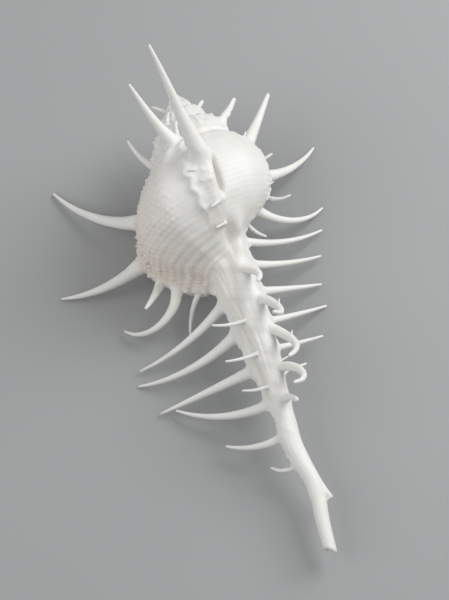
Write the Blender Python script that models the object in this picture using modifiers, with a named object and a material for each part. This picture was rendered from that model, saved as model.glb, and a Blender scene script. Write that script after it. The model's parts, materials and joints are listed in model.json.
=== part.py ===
"""A murex shell: a short spire, a round body whorl, a long straight canal and three rows of spines.

The shell grew as one wall, so it is one closed solid. It is shaped about its own axis first, with the apex
at station 0 and the canal running down the stations, and is then laid on a table with its aperture down,
on the tips of its side spines. Angles about the axis are 0 on top, 90 on the left and -90 on the right,
seen from above with the apex at the far end. The shell grew towards the left, so its angle of growth
rises that way and falls by 360 for each whorl further back.
"""
import math
from collections import namedtuple

import bmesh
import bpy
import numpy as np
from mathutils import Matrix

# Driving dimensions, in millimetres and degrees
MM = 0.001
SHELL_LENGTH = 84.6
GROWTH_PER_TURN = 1.72
LIP_ANGLE = 118.0
REST_DIP = 6.0
VARIX_SPACING = 113.0
LAST_VARIX = 109.0
VARIX_COUNT = 9
VARIX_HEIGHT = 1.1
VARIX_HALF_WIDTH = 10.0
RIB_HEIGHT = 0.45
RIB_HALF_WIDTH = 9.0
RIBS_AFTER_VARIX = (34.0, 76.0)
RELIEF_FULL_FROM = 8.0
WHORLS = 7
CANAL_RIDGE_HEIGHT = 0.5
CANAL_RIDGE_HALF_WIDTH = 24.0
CANAL_RIDGE_END = 60.0
CANAL_RIDGE_FADE = 12.0
CANAL_BLEND = 0.9
PERIPHERY = 21.0
LIP_SQUEEZE = 0.24

# The last whorl's outline where it passes under angle 0: station from the apex, distance from the axis
WHORL_OUTLINE = ((10.0, 0.5), (11.2, 5.4), (12.2, 7.6), (14.0, 9.5), (16.0, 10.9), (18.0, 11.8), (20.5, 12.2),
                 (23.0, 12.0), (26.0, 10.7), (28.0, 9.0), (30.0, 6.5), (31.5, 4.2), (33.0, 2.6), (36.0, 1.0))
# The canal's half width down the stations. Its outer layer is broken off near the end.
CANAL_OUTLINE = ((13.0, 0.0), (18.0, 1.6), (24.0, 2.7), (31.0, 3.2), (38.0, 3.1), (45.0, 2.75), (54.0, 2.05),
                 (60.0, 1.62), (66.0, 1.5), (72.0, 1.35), (75.6, 1.35), (76.6, 1.06), (80.0, 1.02),
                 (84.6, 0.92))
CANAL_SWAY = ((62.0, 0.0), (66.0, -0.1), (69.0, 0.3), (72.6, 0.9), (75.6, 0.9), (78.8, 0.45), (84.6, 0.0))
OUTER_LAYER_END = 76.6
TIP_SLANT = 0.6

# The torn flap where the outer layer ends: it rises slowly towards the break and falls off sharply after it
FLAP_STATION = 75.8
FLAP_HEIGHT = 1.3
FLAP_ANGLE = -95.0
FLAP_HALF_WIDTH = 26.0
FLAP_RISE = 2.4
FLAP_FALL = 0.5

# The aperture's hollow, as an oval section that is swept back into the last whorl from its lip
HOLLOW_CENTRE = (26.2, 8.3)
HOLLOW_HALF_SIZE = (8.6, 4.3)
HOLLOW_TILT = -16.0
HOLLOW_FROM, HOLLOW_TO = 150.0, -60.0
HOLLOW_TAPER = 0.35
HOLLOW_END_ROUNDING = 3.0
RIM_THICKNESS = 0.55
RIM_ANGLE = 120.0
RIM_SIZE = 1.04
SLIT_ANGLE = 165.0
SLIT_WIDTH = 0.6
SLIT_START = 35.0
SLIT_REACH = 6.0

# Mesh fineness
WELD_DISTANCE = 0.000001
CAP_GAP = 0.0000001
COLUMNS = 48
RINGS = 54
RING_STATIONS = ((0.0, 0.0), (0.06, 2.0), (0.74, 36.0), (0.87, 60.0), (0.92, 75.0), (0.96, 76.8),
                 (0.98, 84.6), (1.0, 84.6))
FIRST_STATION = 0.05
POLE_SHARE = 0.0001
HOLLOW_COLUMNS, HOLLOW_RINGS = 16, 14
RIM_POINTS, RIM_SIDES = 20, 6
SLIT_STEPS = 14
SPINE_STEPS, SPINE_SIDES = 6, 6
SMALL_SPINE_STEPS, SMALL_SPINE_SIDES = 3, 4

# Where each row of spines stands on the canal and the body: station, angle
ROW_ANGLES = {
    "left": ((0.0, 108.0), (32.0, 107.0), (45.0, 103.0), (70.0, 100.0)),
    "top": ((0.0, -7.0), (30.0, -7.0), (38.0, -26.0), (42.0, -46.0), (60.0, -44.0)),
    "right": ((0.0, -100.0), (13.0, -101.0), (18.0, -112.0), (22.0, -115.0), (29.0, -123.0), (40.0, -118.0),
              (55.0, -116.0)),
    "top edge": ((0.0, -6.0), (31.0, -6.0), (40.0, 5.0), (60.0, 6.0)),
    "left, a whorl back": ((0.0, 118.0), (30.0, 118.0)),
    "top, a whorl back": ((0.0, 24.0), (30.0, 24.0)),
    "right, a whorl back": ((0.0, -90.0), (30.0, -90.0)),
}

# A spine leaves the shell at its station, turned about the axis and leaning towards the apex, and both
# angles change evenly to those of its tip. Halfway, a hook leans further by its bow.
Spine = namedtuple("Spine", "row station length turn tip_turn lean tip_lean width bow", defaults=(0.0,))
SPINES = (
    Spine("left", 18.9, 20.4, 120, 122, 23, 61, 2.4),
    Spine("left", 26.0, 15.9, 109, 109, -14, 20, 2.3),
    Spine("left", 30.4, 6.7, 54, 54, -49, -39, 1.6),
    Spine("left", 32.3, 15.2, 100, 127, -75, 50, 1.9),
    Spine("left", 34.4, 9.1, 135, 136, -13, -69, 1.2),
    Spine("left", 38.6, 19.1, 110, 112, -28, 2, 1.9),
    Spine("left", 44.5, 20.2, 109, 113, -21, 17, 2.0),
    Spine("left", 51.5, 18.1, 110, 110, 0, 1, 2.0),
    Spine("left", 57.9, 17.5, 109, 111, 0, 41, 1.8),
    Spine("left", 64.0, 10.3, 108, 109, -4, 35, 1.5),
    Spine("left", 69.3, 4.8, 114, 114, -9, 52, 1.0),
    Spine("top", 17.9, 21.4, -2, 11, 42, 47, 2.6),
    Spine("top", 35.2, 9.1, -65, 31, -25, -32, 1.9, -11),
    Spine("top", 40.9, 15.6, -44, 27, -28, 4, 1.8, -25),
    Spine("top", 46.0, 16.5, -53, 36, -44, -22, 1.8, -5),
    Spine("top", 52.9, 15.2, -54, 39, -16, -7, 1.7, -25),
    Spine("top", 58.1, 6.4, -17, -17, -18, -34, 1.4),
    Spine("right", 13.1, 12.0, -116, -116, 50, 53, 2.2),
    Spine("right", 15.9, 2.8, -87, -87, 15, 15, 0.8),
    Spine("right", 18.3, 13.2, -125, -125, 4, 41, 1.9),
    Spine("right", 21.6, 4.8, -82, -81, -52, 12, 1.0),
    Spine("right", 23.9, 13.5, -120, -120, -42, 34, 1.7),
    Spine("right", 25.5, 4.5, -98, -97, -76, -33, 0.9),
    Spine("right", 28.9, 15.5, -117, -118, -17, 17, 1.5),
    Spine("right", 33.3, 13.4, -118, -118, -10, 8, 1.5),
    Spine("right", 38.4, 12.1, -122, -122, -2, 2, 1.5),
    Spine("right", 43.9, 12.1, -123, -123, 5, 10, 1.3),
    Spine("right", 48.8, 9.3, -119, -119, 3, 8, 1.1),
    Spine("right", 53.1, 4.9, -115, -114, 4, 12, 0.9),
    Spine("left, a whorl back", 10.9, 9.1, 126, 126, 43, 78, 1.6),
    Spine("top, a whorl back", 12.3, 13.3, 22, 22, 40, 50, 2.0),
    Spine("right, a whorl back", 8.2, 5.3, -90, -90, 35, 52, 2.0),
    Spine("left, a whorl back", 3.1, 4.0, 111, 111, 42, 42, 1.0),
    Spine("right, a whorl back", 4.4, 2.0, -88, -88, 38, 38, 1.0),
    Spine("top edge", 20.7, 4.5, 72, 78, 10, 12, 0.8),
    Spine("top edge", 22.1, 3.1, 68, 74, -5, -4, 0.8),
    Spine("top edge", 25.7, 2.5, 64, 70, -23, -22, 0.9),
    Spine("top edge", 28.7, 2.1, 56, 62, -19, -19, 0.9),
    Spine("top edge", 43.8, 6.5, 72, 72, -12, 18, 0.8),
    Spine("top edge", 49.7, 6.4, 70, 70, -13, 7, 0.8),
    Spine("top edge", 55.5, 5.4, 70, 70, -14, 16, 0.8),
)
TIP_WIDTH = 0.35
SMALL_SPINE = 7.0
SPINE_TAPER = 0.9
ROOT_INSET = 0.3
ROOT_DEPTH = 1.2
ROOT_FLARE = 1.3

# Colour of the shell
SHELL_COLOUR = (0.86, 0.84, 0.80, 1.0)
SHELL_ROUGHNESS = 0.55


def smooth_curve(at, points):
    """The height at each place of a cubic curve through the points, level beyond both ends."""
    place, height = np.array(points).T
    slope = np.gradient(height, place)
    at = np.clip(at, place[0], place[-1])
    i = np.clip(np.searchsorted(place, at) - 1, 0, len(place) - 2)
    step = place[i + 1] - place[i]
    t = (at - place[i]) / step
    start = height[i] * (1 + 2 * t) + slope[i] * step * t
    end = height[i + 1] * (3 - 2 * t) - slope[i + 1] * step * (1 - t)
    return start * (1 - t) ** 2 + end * t ** 2


def blend_max(a, b, width):
    """The larger of two radii, with the corner between them rounded over a width."""
    share = np.clip(0.5 + 0.5 * (a - b) / width, 0, 1)
    return b + (a - b) * share + width * share * (1 - share)


def bump(distance, half_width):
    """A smooth hump of height 1."""
    return np.exp(-(distance / half_width) ** 2)


def axial_relief(growth):
    """How far the varices, and the low ribs between them, raise the surface of the last whorl."""
    crests = LAST_VARIX - VARIX_SPACING * np.arange(VARIX_COUNT)
    varices = sum(bump(growth - crest, VARIX_HALF_WIDTH) for crest in crests)
    ribs = sum(bump(growth - crest - after, RIB_HALF_WIDTH)
               for crest in crests[1:] for after in RIBS_AFTER_VARIX)
    return VARIX_HEIGHT * varices + RIB_HEIGHT * ribs


def whorl_radius(growth, station):
    """Distance of the spiral's surface from the axis: every whorl is the last one on a smaller scale."""
    radius = np.zeros(np.broadcast(growth, station).shape)
    for whorls_back in range(WHORLS):
        at = growth - 360.0 * whorls_back
        scale = GROWTH_PER_TURN ** (at / 360.0)
        squeeze = 1 + LIP_SQUEEZE * np.clip(at / LIP_ANGLE, 0, 1)
        place = PERIPHERY + (station / scale - PERIPHERY) * squeeze
        wall = smooth_curve(place, WHORL_OUTLINE) * np.where(place < WHORL_OUTLINE[0][0], 0, 1)
        relief = axial_relief(at) * np.clip(wall / RELIEF_FULL_FROM, 0, 1)
        radius = np.maximum(radius, scale * (wall + relief))
    return radius


def canal_radius(angle, station):
    """Distance of the canal's surface from its centre, with a low ridge under each row of spines."""
    radius = smooth_curve(station, CANAL_OUTLINE)
    fade = np.clip((CANAL_RIDGE_END - station) / CANAL_RIDGE_FADE, 0, 1)
    for row in ("left", "top", "right"):
        off_row = (angle - smooth_curve(station, ROW_ANGLES[row]) + 180.0) % 360.0 - 180.0
        radius = radius + CANAL_RIDGE_HEIGHT * fade * bump(off_row, CANAL_RIDGE_HALF_WIDTH)
    along_flap = (station - FLAP_STATION) / np.where(station > FLAP_STATION, FLAP_FALL, FLAP_RISE)
    return radius + FLAP_HEIGHT * bump(along_flap, 1.0) * bump(angle - FLAP_ANGLE, FLAP_HALF_WIDTH)


def surface_radius(angle, station):
    """The outside of the shell, without its spines."""
    growth = np.where(angle > LIP_ANGLE, angle - 360.0, angle)
    return blend_max(whorl_radius(growth, station), canal_radius(angle, station), CANAL_BLEND)


def place_on_axis(angle, station, radius):
    """Points from angles about the axis, stations along it and distances from it."""
    turn = np.radians(angle)
    across = smooth_curve(station, CANAL_SWAY) - radius * np.sin(turn)
    return np.stack(np.broadcast_arrays(across, -station, radius * np.cos(turn)), axis=-1)


def take_home(piece, name, collection):
    """Names a new primitive and keeps it in one collection alone."""
    piece.name = name
    for home in piece.users_collection:
        home.objects.unlink(piece)
    collection.objects.link(piece)
    return piece


def get_points(piece):
    """A mesh's vertices, one row each."""
    flat = np.empty(len(piece.data.vertices) * 3, dtype=np.float32)
    piece.data.vertices.foreach_get("co", flat)
    return flat.reshape(-1, 3).astype(float)


def set_points(piece, points):
    """Moves a mesh's vertices to points given in millimetres."""
    piece.data.vertices.foreach_set("co", (points * MM).astype(np.float32).ravel())
    piece.data.update()


def sphere_grid(name, columns, rings, collection):
    """A sphere primitive, with each vertex's angle around it and its share of the way down from the pole."""
    bpy.ops.mesh.primitive_uv_sphere_add(segments=columns, ring_count=rings, radius=1.0)
    sphere = take_home(bpy.context.object, name, collection)
    x, y, z = get_points(sphere).T
    return sphere, np.degrees(np.arctan2(y, x)) % 360.0, np.arccos(np.clip(z, -1, 1)) / math.pi


def make_wall(collection):
    """The shell without spines: a sphere's rings drawn down the axis, each at its own radius."""
    wall, around, down = sphere_grid("murex_shell", COLUMNS, RINGS, collection)
    angle = (LAST_VARIX + around + 180.0) % 360.0 - 180.0
    station = np.interp(down, *np.array(RING_STATIONS).T)
    at_pole = (down < POLE_SHARE) | (down > 1 - POLE_SHARE)
    radius = np.where(at_pole, 0, surface_radius(angle, np.maximum(station, FIRST_STATION)))
    slant = np.interp(station, (OUTER_LAYER_END, SHELL_LENGTH), (0, TIP_SLANT)) * np.where(at_pole, 0, 1)
    set_points(wall, place_on_axis(angle, station - slant * np.sin(np.radians(angle)), radius))
    return wall


def hollow_section(growth, around, size):
    """A point on the oval section of the last whorl's hollow: angle, station and distance from the axis."""
    scale = GROWTH_PER_TURN ** ((growth - LIP_ANGLE) / 360.0)
    tilt = math.radians(HOLLOW_TILT)
    long_way = HOLLOW_HALF_SIZE[0] * size * np.cos(around)
    short_way = HOLLOW_HALF_SIZE[1] * size * np.sin(around)
    station = HOLLOW_CENTRE[0] + long_way * math.cos(tilt) - short_way * math.sin(tilt)
    radius = HOLLOW_CENTRE[1] + long_way * math.sin(tilt) + short_way * math.cos(tilt)
    return station * scale, radius * scale


def make_hollow(collection):
    """The cutter for the aperture: a horn that curls back into the last whorl from in front of its lip."""
    horn, around, down = sphere_grid("aperture_hollow", HOLLOW_COLUMNS, HOLLOW_RINGS, collection)
    growth = HOLLOW_FROM + (HOLLOW_TO - HOLLOW_FROM) * down
    size = np.clip(np.sin(math.pi * down) * HOLLOW_END_ROUNDING, 0, 1) * (1 - HOLLOW_TAPER * down)
    station, radius = hollow_section(growth, np.radians(around), size)
    set_points(horn, place_on_axis(growth, station, radius))
    return horn


def make_tube(name, points, radii, sides, collection, closed=False):
    """A closed round bar through the points, of its own radius at each one."""
    curve = bpy.data.curves.new(name, "CURVE")
    curve.dimensions = "3D"
    curve.bevel_depth = MM
    curve.bevel_resolution = sides // 2 - 2
    curve.use_fill_caps = not closed
    spline = curve.splines.new("POLY")
    spline.points.add(len(points) - 1)
    spline.use_cyclic_u = closed
    for spot, point, radius in zip(spline.points, points, radii):
        spot.co = (*(point * MM), 1.0)
        spot.radius = radius
    bar = bpy.data.objects.new(name, curve)
    collection.objects.link(bar)
    bpy.context.view_layer.update()
    solid = bpy.data.objects.new(name, bpy.data.meshes.new_from_object(bar.evaluated_get(
        bpy.context.evaluated_depsgraph_get())))
    bpy.data.objects.remove(bar)
    collection.objects.link(solid)
    weld_caps(solid.data)
    return solid


def weld_caps(mesh):
    """Joins a tube's caps to its wall."""
    shape = bmesh.new()
    shape.from_mesh(mesh)
    bmesh.ops.remove_doubles(shape, verts=shape.verts, dist=CAP_GAP)
    bmesh.ops.recalc_face_normals(shape, faces=shape.faces)
    shape.to_mesh(mesh)
    shape.free()


def make_rim(collection):
    """The raised edge around the aperture."""
    around = np.linspace(0, 2 * math.pi, RIM_POINTS, endpoint=False)
    station, radius = hollow_section(RIM_ANGLE, around, RIM_SIZE)
    points = place_on_axis(np.full(around.shape, RIM_ANGLE), station, radius)
    thickness = [RIM_THICKNESS] * len(points)
    return make_tube("aperture_rim", points, thickness, RIM_SIDES, collection, closed=True)


def make_slit(collection):
    """The cutter for the canal's slit: a thin blade under the canal that reaches its axis."""
    bpy.ops.mesh.primitive_grid_add(x_subdivisions=1, y_subdivisions=SLIT_STEPS, size=2.0)
    blade = take_home(bpy.context.object, "canal_slit", collection)
    across, along, _ = get_points(blade).T
    station = SLIT_START + (SHELL_LENGTH + 2.0 - SLIT_START) * (1 - along) / 2
    set_points(blade, place_on_axis(SLIT_ANGLE, station, SLIT_REACH * (1 + across) / 2))
    thicken = blade.modifiers.new("width of the slit", "SOLIDIFY")
    thicken.thickness = SLIT_WIDTH * MM
    thicken.offset = 0.0
    return blade


def direction(turn, lean):
    """A unit direction, turned about the axis and leaning towards the apex."""
    turn, lean = math.radians(turn), math.radians(lean)
    return np.array((-math.sin(turn) * math.cos(lean), math.sin(lean), math.cos(turn) * math.cos(lean)))


def spine_path(spine, steps):
    """Points along a spine from inside the wall to its tip, and the share of its length at each."""
    row_angle = float(smooth_curve(spine.station, ROW_ANGLES[spine.row]))
    radius = float(surface_radius(np.array(row_angle), np.array(spine.station)))
    place = place_on_axis(row_angle, spine.station, radius - ROOT_INSET)
    points = [place - ROOT_DEPTH * direction(spine.turn, spine.lean), place]
    shares = [0.0, 0.0]
    for step in range(steps):
        share = (step + 0.5) / steps
        turn = spine.turn + (spine.tip_turn - spine.turn) * share
        lean = spine.lean + (spine.tip_lean - spine.lean) * share + spine.bow * 4 * share * (1 - share)
        place = place + direction(turn, lean) * spine.length / steps
        points.append(place)
        shares.append((step + 1) / steps)
    return points, shares


def make_spine(number, spine, collection):
    """One spine: a bar that thins towards its tip and flares a little where it leaves the wall."""
    small = spine.length < SMALL_SPINE
    points, shares = spine_path(spine, SMALL_SPINE_STEPS if small else SPINE_STEPS)
    radii = [(TIP_WIDTH + (spine.width - TIP_WIDTH) * (1 - share) ** SPINE_TAPER) / 2 for share in shares]
    radii[0] *= ROOT_FLARE
    sides = SMALL_SPINE_SIDES if small else SPINE_SIDES
    return make_tube(f"spine_{number}", points, radii, sides, collection)


def make_material():
    """White shell, dull like unglazed china."""
    white = bpy.data.materials.new("shell")
    white.use_nodes = True
    shader = white.node_tree.nodes["Principled BSDF"]
    shader.inputs["Base Color"].default_value = SHELL_COLOUR
    shader.inputs["Roughness"].default_value = SHELL_ROUGHNESS
    shader.inputs["Metallic"].default_value = 0.0
    return white


def add_boolean(piece, operation, other):
    """Cuts or joins another mesh, or all of a collection's meshes, into a piece."""
    cut = piece.modifiers.new(f"{operation.lower()} {other.name}", "BOOLEAN")
    cut.operation = operation
    cut.solver = "EXACT"
    if isinstance(other, bpy.types.Collection):
        cut.operand_type = "COLLECTION"
        cut.collection = other
    else:
        cut.object = other


def new_collection(name):
    collection = bpy.data.collections.new(name)
    bpy.context.scene.collection.children.link(collection)
    return collection


def lay_down(shell, tools):
    """Dips the canal to the table, and brings the lowest spine tips to height 0 and the box to the middle."""
    dip = Matrix.Rotation(math.radians(REST_DIP), 4, "X")
    for piece in [shell, *tools]:
        piece.data.transform(dip)
    bpy.context.view_layer.update()
    finished = shell.evaluated_get(bpy.context.evaluated_depsgraph_get()).to_mesh()
    corners = np.array([vertex.co for vertex in finished.vertices])
    low, high = corners.min(axis=0), corners.max(axis=0)
    to_table = Matrix.Translation((-(low[0] + high[0]) / 2, -(low[1] + high[1]) / 2, -low[2]))
    for piece in [shell, *tools]:
        piece.data.transform(to_table)
    print("The apex stands at", [round(value / MM, 3) for value in to_table.translation])


def main():
    for left_over in list(bpy.data.objects):
        bpy.data.objects.remove(left_over)
    shell_home = new_collection("murex shell")
    cutters = new_collection("cutters")
    spines = new_collection("spines to join")

    shell = make_wall(shell_home)
    hollow = make_hollow(cutters)
    slit = make_slit(cutters)
    make_rim(spines)
    for number, spine in enumerate(SPINES, start=1):
        make_spine(number, spine, spines)
    add_boolean(shell, "DIFFERENCE", hollow)
    add_boolean(shell, "DIFFERENCE", slit)
    add_boolean(shell, "UNION", spines)
    weld = shell.modifiers.new("weld slivers", "WELD")
    weld.merge_threshold = WELD_DISTANCE

    tools = [hollow, slit, *spines.objects]
    for tool in tools:
        tool.hide_render = True
        tool.display_type = "WIRE"
    lay_down(shell, tools)
    shell.data.materials.append(make_material())
    shell.data.shade_smooth()


main()
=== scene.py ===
# %% [markdown]
# # A murex shell, lying on the tips of its spines
#
# A sea snail built this shell in one go, so it is one closed mesh here too: a short spire, a round body
# whorl, a long straight canal, and three rows of curved spines. The solid that carries it comes from the
# frame. This notebook makes the fine surface that stands in its place: the cords that wind round the
# whorls, the beads and folds on them, the swollen roots of the spines, and the worn and broken ends.
#
# All the shaping is done about the shell's own axis, in millimetres, with the apex at station 0 and the
# canal running down the stations. An angle about the axis is 0 on top, 90 on the left and -90 on the right.

# %% Frame
import json
import math
from collections import namedtuple

import bmesh
import bpy
import numpy as np
from mathutils import Matrix, Vector, noise

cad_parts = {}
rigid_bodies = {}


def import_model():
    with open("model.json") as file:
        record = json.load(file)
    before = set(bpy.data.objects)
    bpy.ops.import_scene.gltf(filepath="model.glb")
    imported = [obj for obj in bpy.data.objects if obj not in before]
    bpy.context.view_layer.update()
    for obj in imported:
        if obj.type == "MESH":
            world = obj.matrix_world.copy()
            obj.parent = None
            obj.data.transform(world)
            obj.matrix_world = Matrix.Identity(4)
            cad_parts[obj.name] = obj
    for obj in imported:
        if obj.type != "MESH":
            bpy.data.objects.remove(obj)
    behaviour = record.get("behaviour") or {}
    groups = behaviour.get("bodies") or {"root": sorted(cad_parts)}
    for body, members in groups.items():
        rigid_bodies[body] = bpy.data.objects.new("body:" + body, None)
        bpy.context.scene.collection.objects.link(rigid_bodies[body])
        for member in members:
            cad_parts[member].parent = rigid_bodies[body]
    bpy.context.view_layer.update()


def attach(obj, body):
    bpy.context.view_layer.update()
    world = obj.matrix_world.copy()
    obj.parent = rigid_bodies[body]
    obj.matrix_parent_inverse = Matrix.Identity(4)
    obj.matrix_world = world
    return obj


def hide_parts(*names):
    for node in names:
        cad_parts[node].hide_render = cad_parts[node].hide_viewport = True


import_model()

# %% [markdown]
# ## The driving sizes
#
# A snail shell is a spiral that keeps its shape while it grows. One turn makes everything 1.72 times as
# large, so a growth angle tells how large the shell was when that part of its wall was laid down. The lip,
# where growth stopped, stands at 118 degrees, and the thickened old lips, called varices, come every 113
# degrees before it. The outline of the last whorl and the width of the canal are the only two profiles that
# the whole shell needs.

# %% Driving sizes
MM = 0.001
APEX_PLACE = (4.747, 42.373, 12.627)
REST_DIP = 6.0
SHELL_LENGTH = 84.6
GROWTH_PER_TURN = 1.72
LIP_ANGLE = 118.0
VARIX_SPACING = 113.0
LAST_VARIX = 109.0
WHORLS = 7
PERIPHERY = 21.0
LIP_SQUEEZE = 0.24
WHORL_OUTLINE = ((10.0, 0.5), (11.2, 5.4), (12.2, 7.6), (14.0, 9.5), (16.0, 10.9), (18.0, 11.8), (20.5, 12.2),
                 (23.0, 12.0), (26.0, 10.7), (28.0, 9.0), (30.0, 6.5), (31.5, 4.2), (33.0, 2.6), (36.0, 1.0))
CANAL_OUTLINE = ((13.0, 0.0), (18.0, 1.6), (24.0, 2.7), (31.0, 3.2), (38.0, 3.1), (45.0, 2.75), (54.0, 2.05),
                 (60.0, 1.62), (66.0, 1.5), (72.0, 1.35), (77.5, 1.35))
CANAL_SWAY = ((62.0, 0.0), (66.0, -0.1), (69.0, 0.3), (72.6, 0.9), (75.6, 0.9), (78.8, 0.45), (84.6, 0.0))
print("the apex stands at", APEX_PLACE, "mm")


# %% [markdown]
# ## Small tools for curves
#
# Profiles could be drawn as curve objects, but then every point on the wall would have to be looked up on
# them. A cubic curve through a few named points gives the same shape as a plain function, so the wall can
# ask for its radius anywhere.

# %% Curve tools
def smooth_curve(at, points):
    """The height at each place of a cubic curve through the points, level beyond both ends."""
    place, height = np.array(points).T
    slope = np.gradient(height, place)
    at = np.clip(at, place[0], place[-1])
    i = np.clip(np.searchsorted(place, at) - 1, 0, len(place) - 2)
    step = place[i + 1] - place[i]
    t = (at - place[i]) / step
    start = height[i] * (1 + 2 * t) + slope[i] * step * t
    end = height[i + 1] * (3 - 2 * t) - slope[i + 1] * step * (1 - t)
    return start * (1 - t) ** 2 + end * t ** 2


def bump(distance, half_width):
    """A smooth hump of height 1."""
    return np.exp(-(distance / half_width) ** 2)


def ease(value, low, high):
    """Rises smoothly from 0 at low to 1 at high."""
    t = np.clip((value - low) / (high - low), 0, 1)
    return t * t * (3 - 2 * t)


def window(value, low, full, fall, end):
    """Rises smoothly from 0 at low to 1 at full, and falls back to 0 between fall and end."""
    return ease(value, low, full) * (1 - ease(value, fall, end))


def blend_max(a, b, width):
    """The larger of two radii, with the corner between them rounded over a width."""
    share = np.clip(0.5 + 0.5 * (a - b) / width, 0, 1)
    return b + (a - b) * share + width * share * (1 - share)


def off_angle(angle, centre):
    """How far an angle is from another, the short way round."""
    return (angle - centre + 180.0) % 360.0 - 180.0


def ripples(at, pitch, sharpness=1.0):
    """Even ridges of height 1 with one to a pitch: a larger sharpness makes them narrower."""
    return (0.5 - 0.5 * np.cos(2 * math.pi * at / pitch)) ** sharpness


print("radius of the last whorl:", float(smooth_curve(np.array(PERIPHERY), WHORL_OUTLINE)), "mm")

# %% [markdown]
# ## The whorls
#
# Each whorl is the last one on a smaller scale, so the wall stands wherever the largest of them reaches. The
# varices and low ribs run down it from shoulder to base. A varix isn't a round hump: seen from above it has
# a steep side with a gutter along it, a hollow top, and a thin scalloped front edge, because it was once the
# shell's lip. The last lip flares out at its base, where it meets the aperture's rim.

# %% Whorls
VARIX_PROFILE = ((-16.0, 0.0), (-11.0, -0.02), (-8.0, -0.15), (-5.8, -0.3), (-4.6, 0.75), (-3.0, 1.05),
                 (0.0, 0.75), (5.0, 0.42), (9.0, 0.45), (12.0, 0.68), (14.0, 0.75), (16.5, 0.15), (19.0, 0.0))
WALL_SOFT_PLACES, VARIX_SOFT_PLACES, VARIX_SOFT_SHARE = (22.8, 25.8), (25.5, 29.5), 0.5
LIP_SOFT_FROM, FRONT_SOFT_FROM = (45.0, 85.0), (-3.0, 1.0)
FRONT_EDGE_SLANT, FRONT_EDGE_PLACE, FRONT_EDGE_REACH = 0.035, 21.5, (-2.0, 12.0)
SCALLOP_DEPTH, SCALLOP_PITCH, SCALLOP_FROM = 1.3, 2.9, (4.0, 10.0)
RIB_HEIGHT, RIB_HALF_WIDTH = 0.28, 8.0
RIBS_AFTER_VARIX = (38.0, 74.0)
RELIEF_FULL_FROM = 8.0
GUTTER_DEPTH, GUTTER_FROM_VARIX, GUTTER_HALF_WIDTH = 0.9, -6.8, 2.6
GUTTER_PLACES = (16.6, 19.5, 23.5, 26.0)
LIP_FLARE, LIP_FLARE_FROM = 1.2, (84.0, 110.0)
LIP_FLARE_PLACE, LIP_FLARE_HALF_WIDTH = 30.6, 1.8
SMOOTH_VARIX, SMOOTH_VARIX_HALF_WIDTH = 1.1, 10.0


def off_varix(growth):
    """How far a growth angle lies past the varix behind it or before the one ahead, whichever is nearer."""
    return (growth - LAST_VARIX + 0.5 * VARIX_SPACING) % VARIX_SPACING - 0.5 * VARIX_SPACING


def in_gutter(growth, place):
    """1 along the bottom of the gutter behind a varix, and 0 away from it."""
    across = bump(off_varix(growth) - GUTTER_FROM_VARIX, GUTTER_HALF_WIDTH)
    return across * ease(place, *GUTTER_PLACES[:2]) * (1 - ease(place, *GUTTER_PLACES[2:]))


def axial_relief(growth, place):
    """How far varices and ribs raise the wall of the last whorl, at a place on its outline."""
    off = off_varix(growth)
    after = off % VARIX_SPACING
    ribs = sum(bump(after - rib, RIB_HALF_WIDTH) for rib in RIBS_AFTER_VARIX)
    slant = 1 + FRONT_EDGE_SLANT * np.clip(place - FRONT_EDGE_PLACE, *FRONT_EDGE_REACH)
    scallop = SCALLOP_DEPTH * np.sin(2 * math.pi * place / SCALLOP_PITCH) * ease(off, *SCALLOP_FROM)
    across = np.where(off > 0, off * slant + scallop, off)
    varix = np.interp(across, *np.array(VARIX_PROFILE).T)
    wall_soft, front_soft = ease(place, *WALL_SOFT_PLACES), ease(place, *VARIX_SOFT_PLACES)
    soft = wall_soft + (front_soft - wall_soft) * ease(off, *FRONT_SOFT_FROM)
    soft = np.maximum(soft, ease(growth, *LIP_SOFT_FROM))
    varix = varix + (VARIX_SOFT_SHARE * smooth_relief(growth, place) - varix) * soft
    gutter = GUTTER_DEPTH * in_gutter(growth, place) * (1 - ease(growth, *LIP_SOFT_FROM))
    return varix + RIB_HEIGHT * ribs - gutter


def smooth_relief(growth, place):
    """The plain, round varices that the solid has. Its spines were placed on these."""
    return SMOOTH_VARIX * bump(off_varix(growth), SMOOTH_VARIX_HALF_WIDTH)


def place_on_outline(growth, station):
    """Where a station lies on the last whorl's outline, for a whorl at its growth angle, and its scale."""
    scale = GROWTH_PER_TURN ** (growth / 360.0)
    squeeze = 1 + LIP_SQUEEZE * np.clip(growth / LIP_ANGLE, 0, 1)
    return PERIPHERY + (station / scale - PERIPHERY) * squeeze, scale


def whorl_radius(growth, station, relief_at=axial_relief, lip_flare=LIP_FLARE):
    """Distance of the spiral's wall from the axis."""
    radius = np.zeros(np.broadcast(growth, station).shape)
    for whorls_back in range(WHORLS):
        at = growth - 360.0 * whorls_back
        place, scale = place_on_outline(at, station)
        wall = smooth_curve(place, WHORL_OUTLINE) * np.where(place < WHORL_OUTLINE[0][0], 0, 1)
        relief = relief_at(at, place) * np.clip(wall / RELIEF_FULL_FROM, 0, 1)
        flare = lip_flare * ease(at, *LIP_FLARE_FROM) * bump(place - LIP_FLARE_PLACE, LIP_FLARE_HALF_WIDTH)
        radius = np.maximum(radius, scale * (wall + relief + flare))
    return radius


print("varices at", [LAST_VARIX - VARIX_SPACING * back for back in range(4)], "degrees of growth")

# %% [markdown]
# ## The canal
#
# The canal is a tube that tapers down from the body. A low ridge runs along it under each row of spines.
# Each hooked spine on top stands on an arch across the canal, which gives it the look of a backbone, and
# thin edges of old lips cross it between the arches. Near its end the outer layer has broken away: one side
# ends in a torn flap, and only the thinner inner tube goes on to the cut tip.

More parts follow.
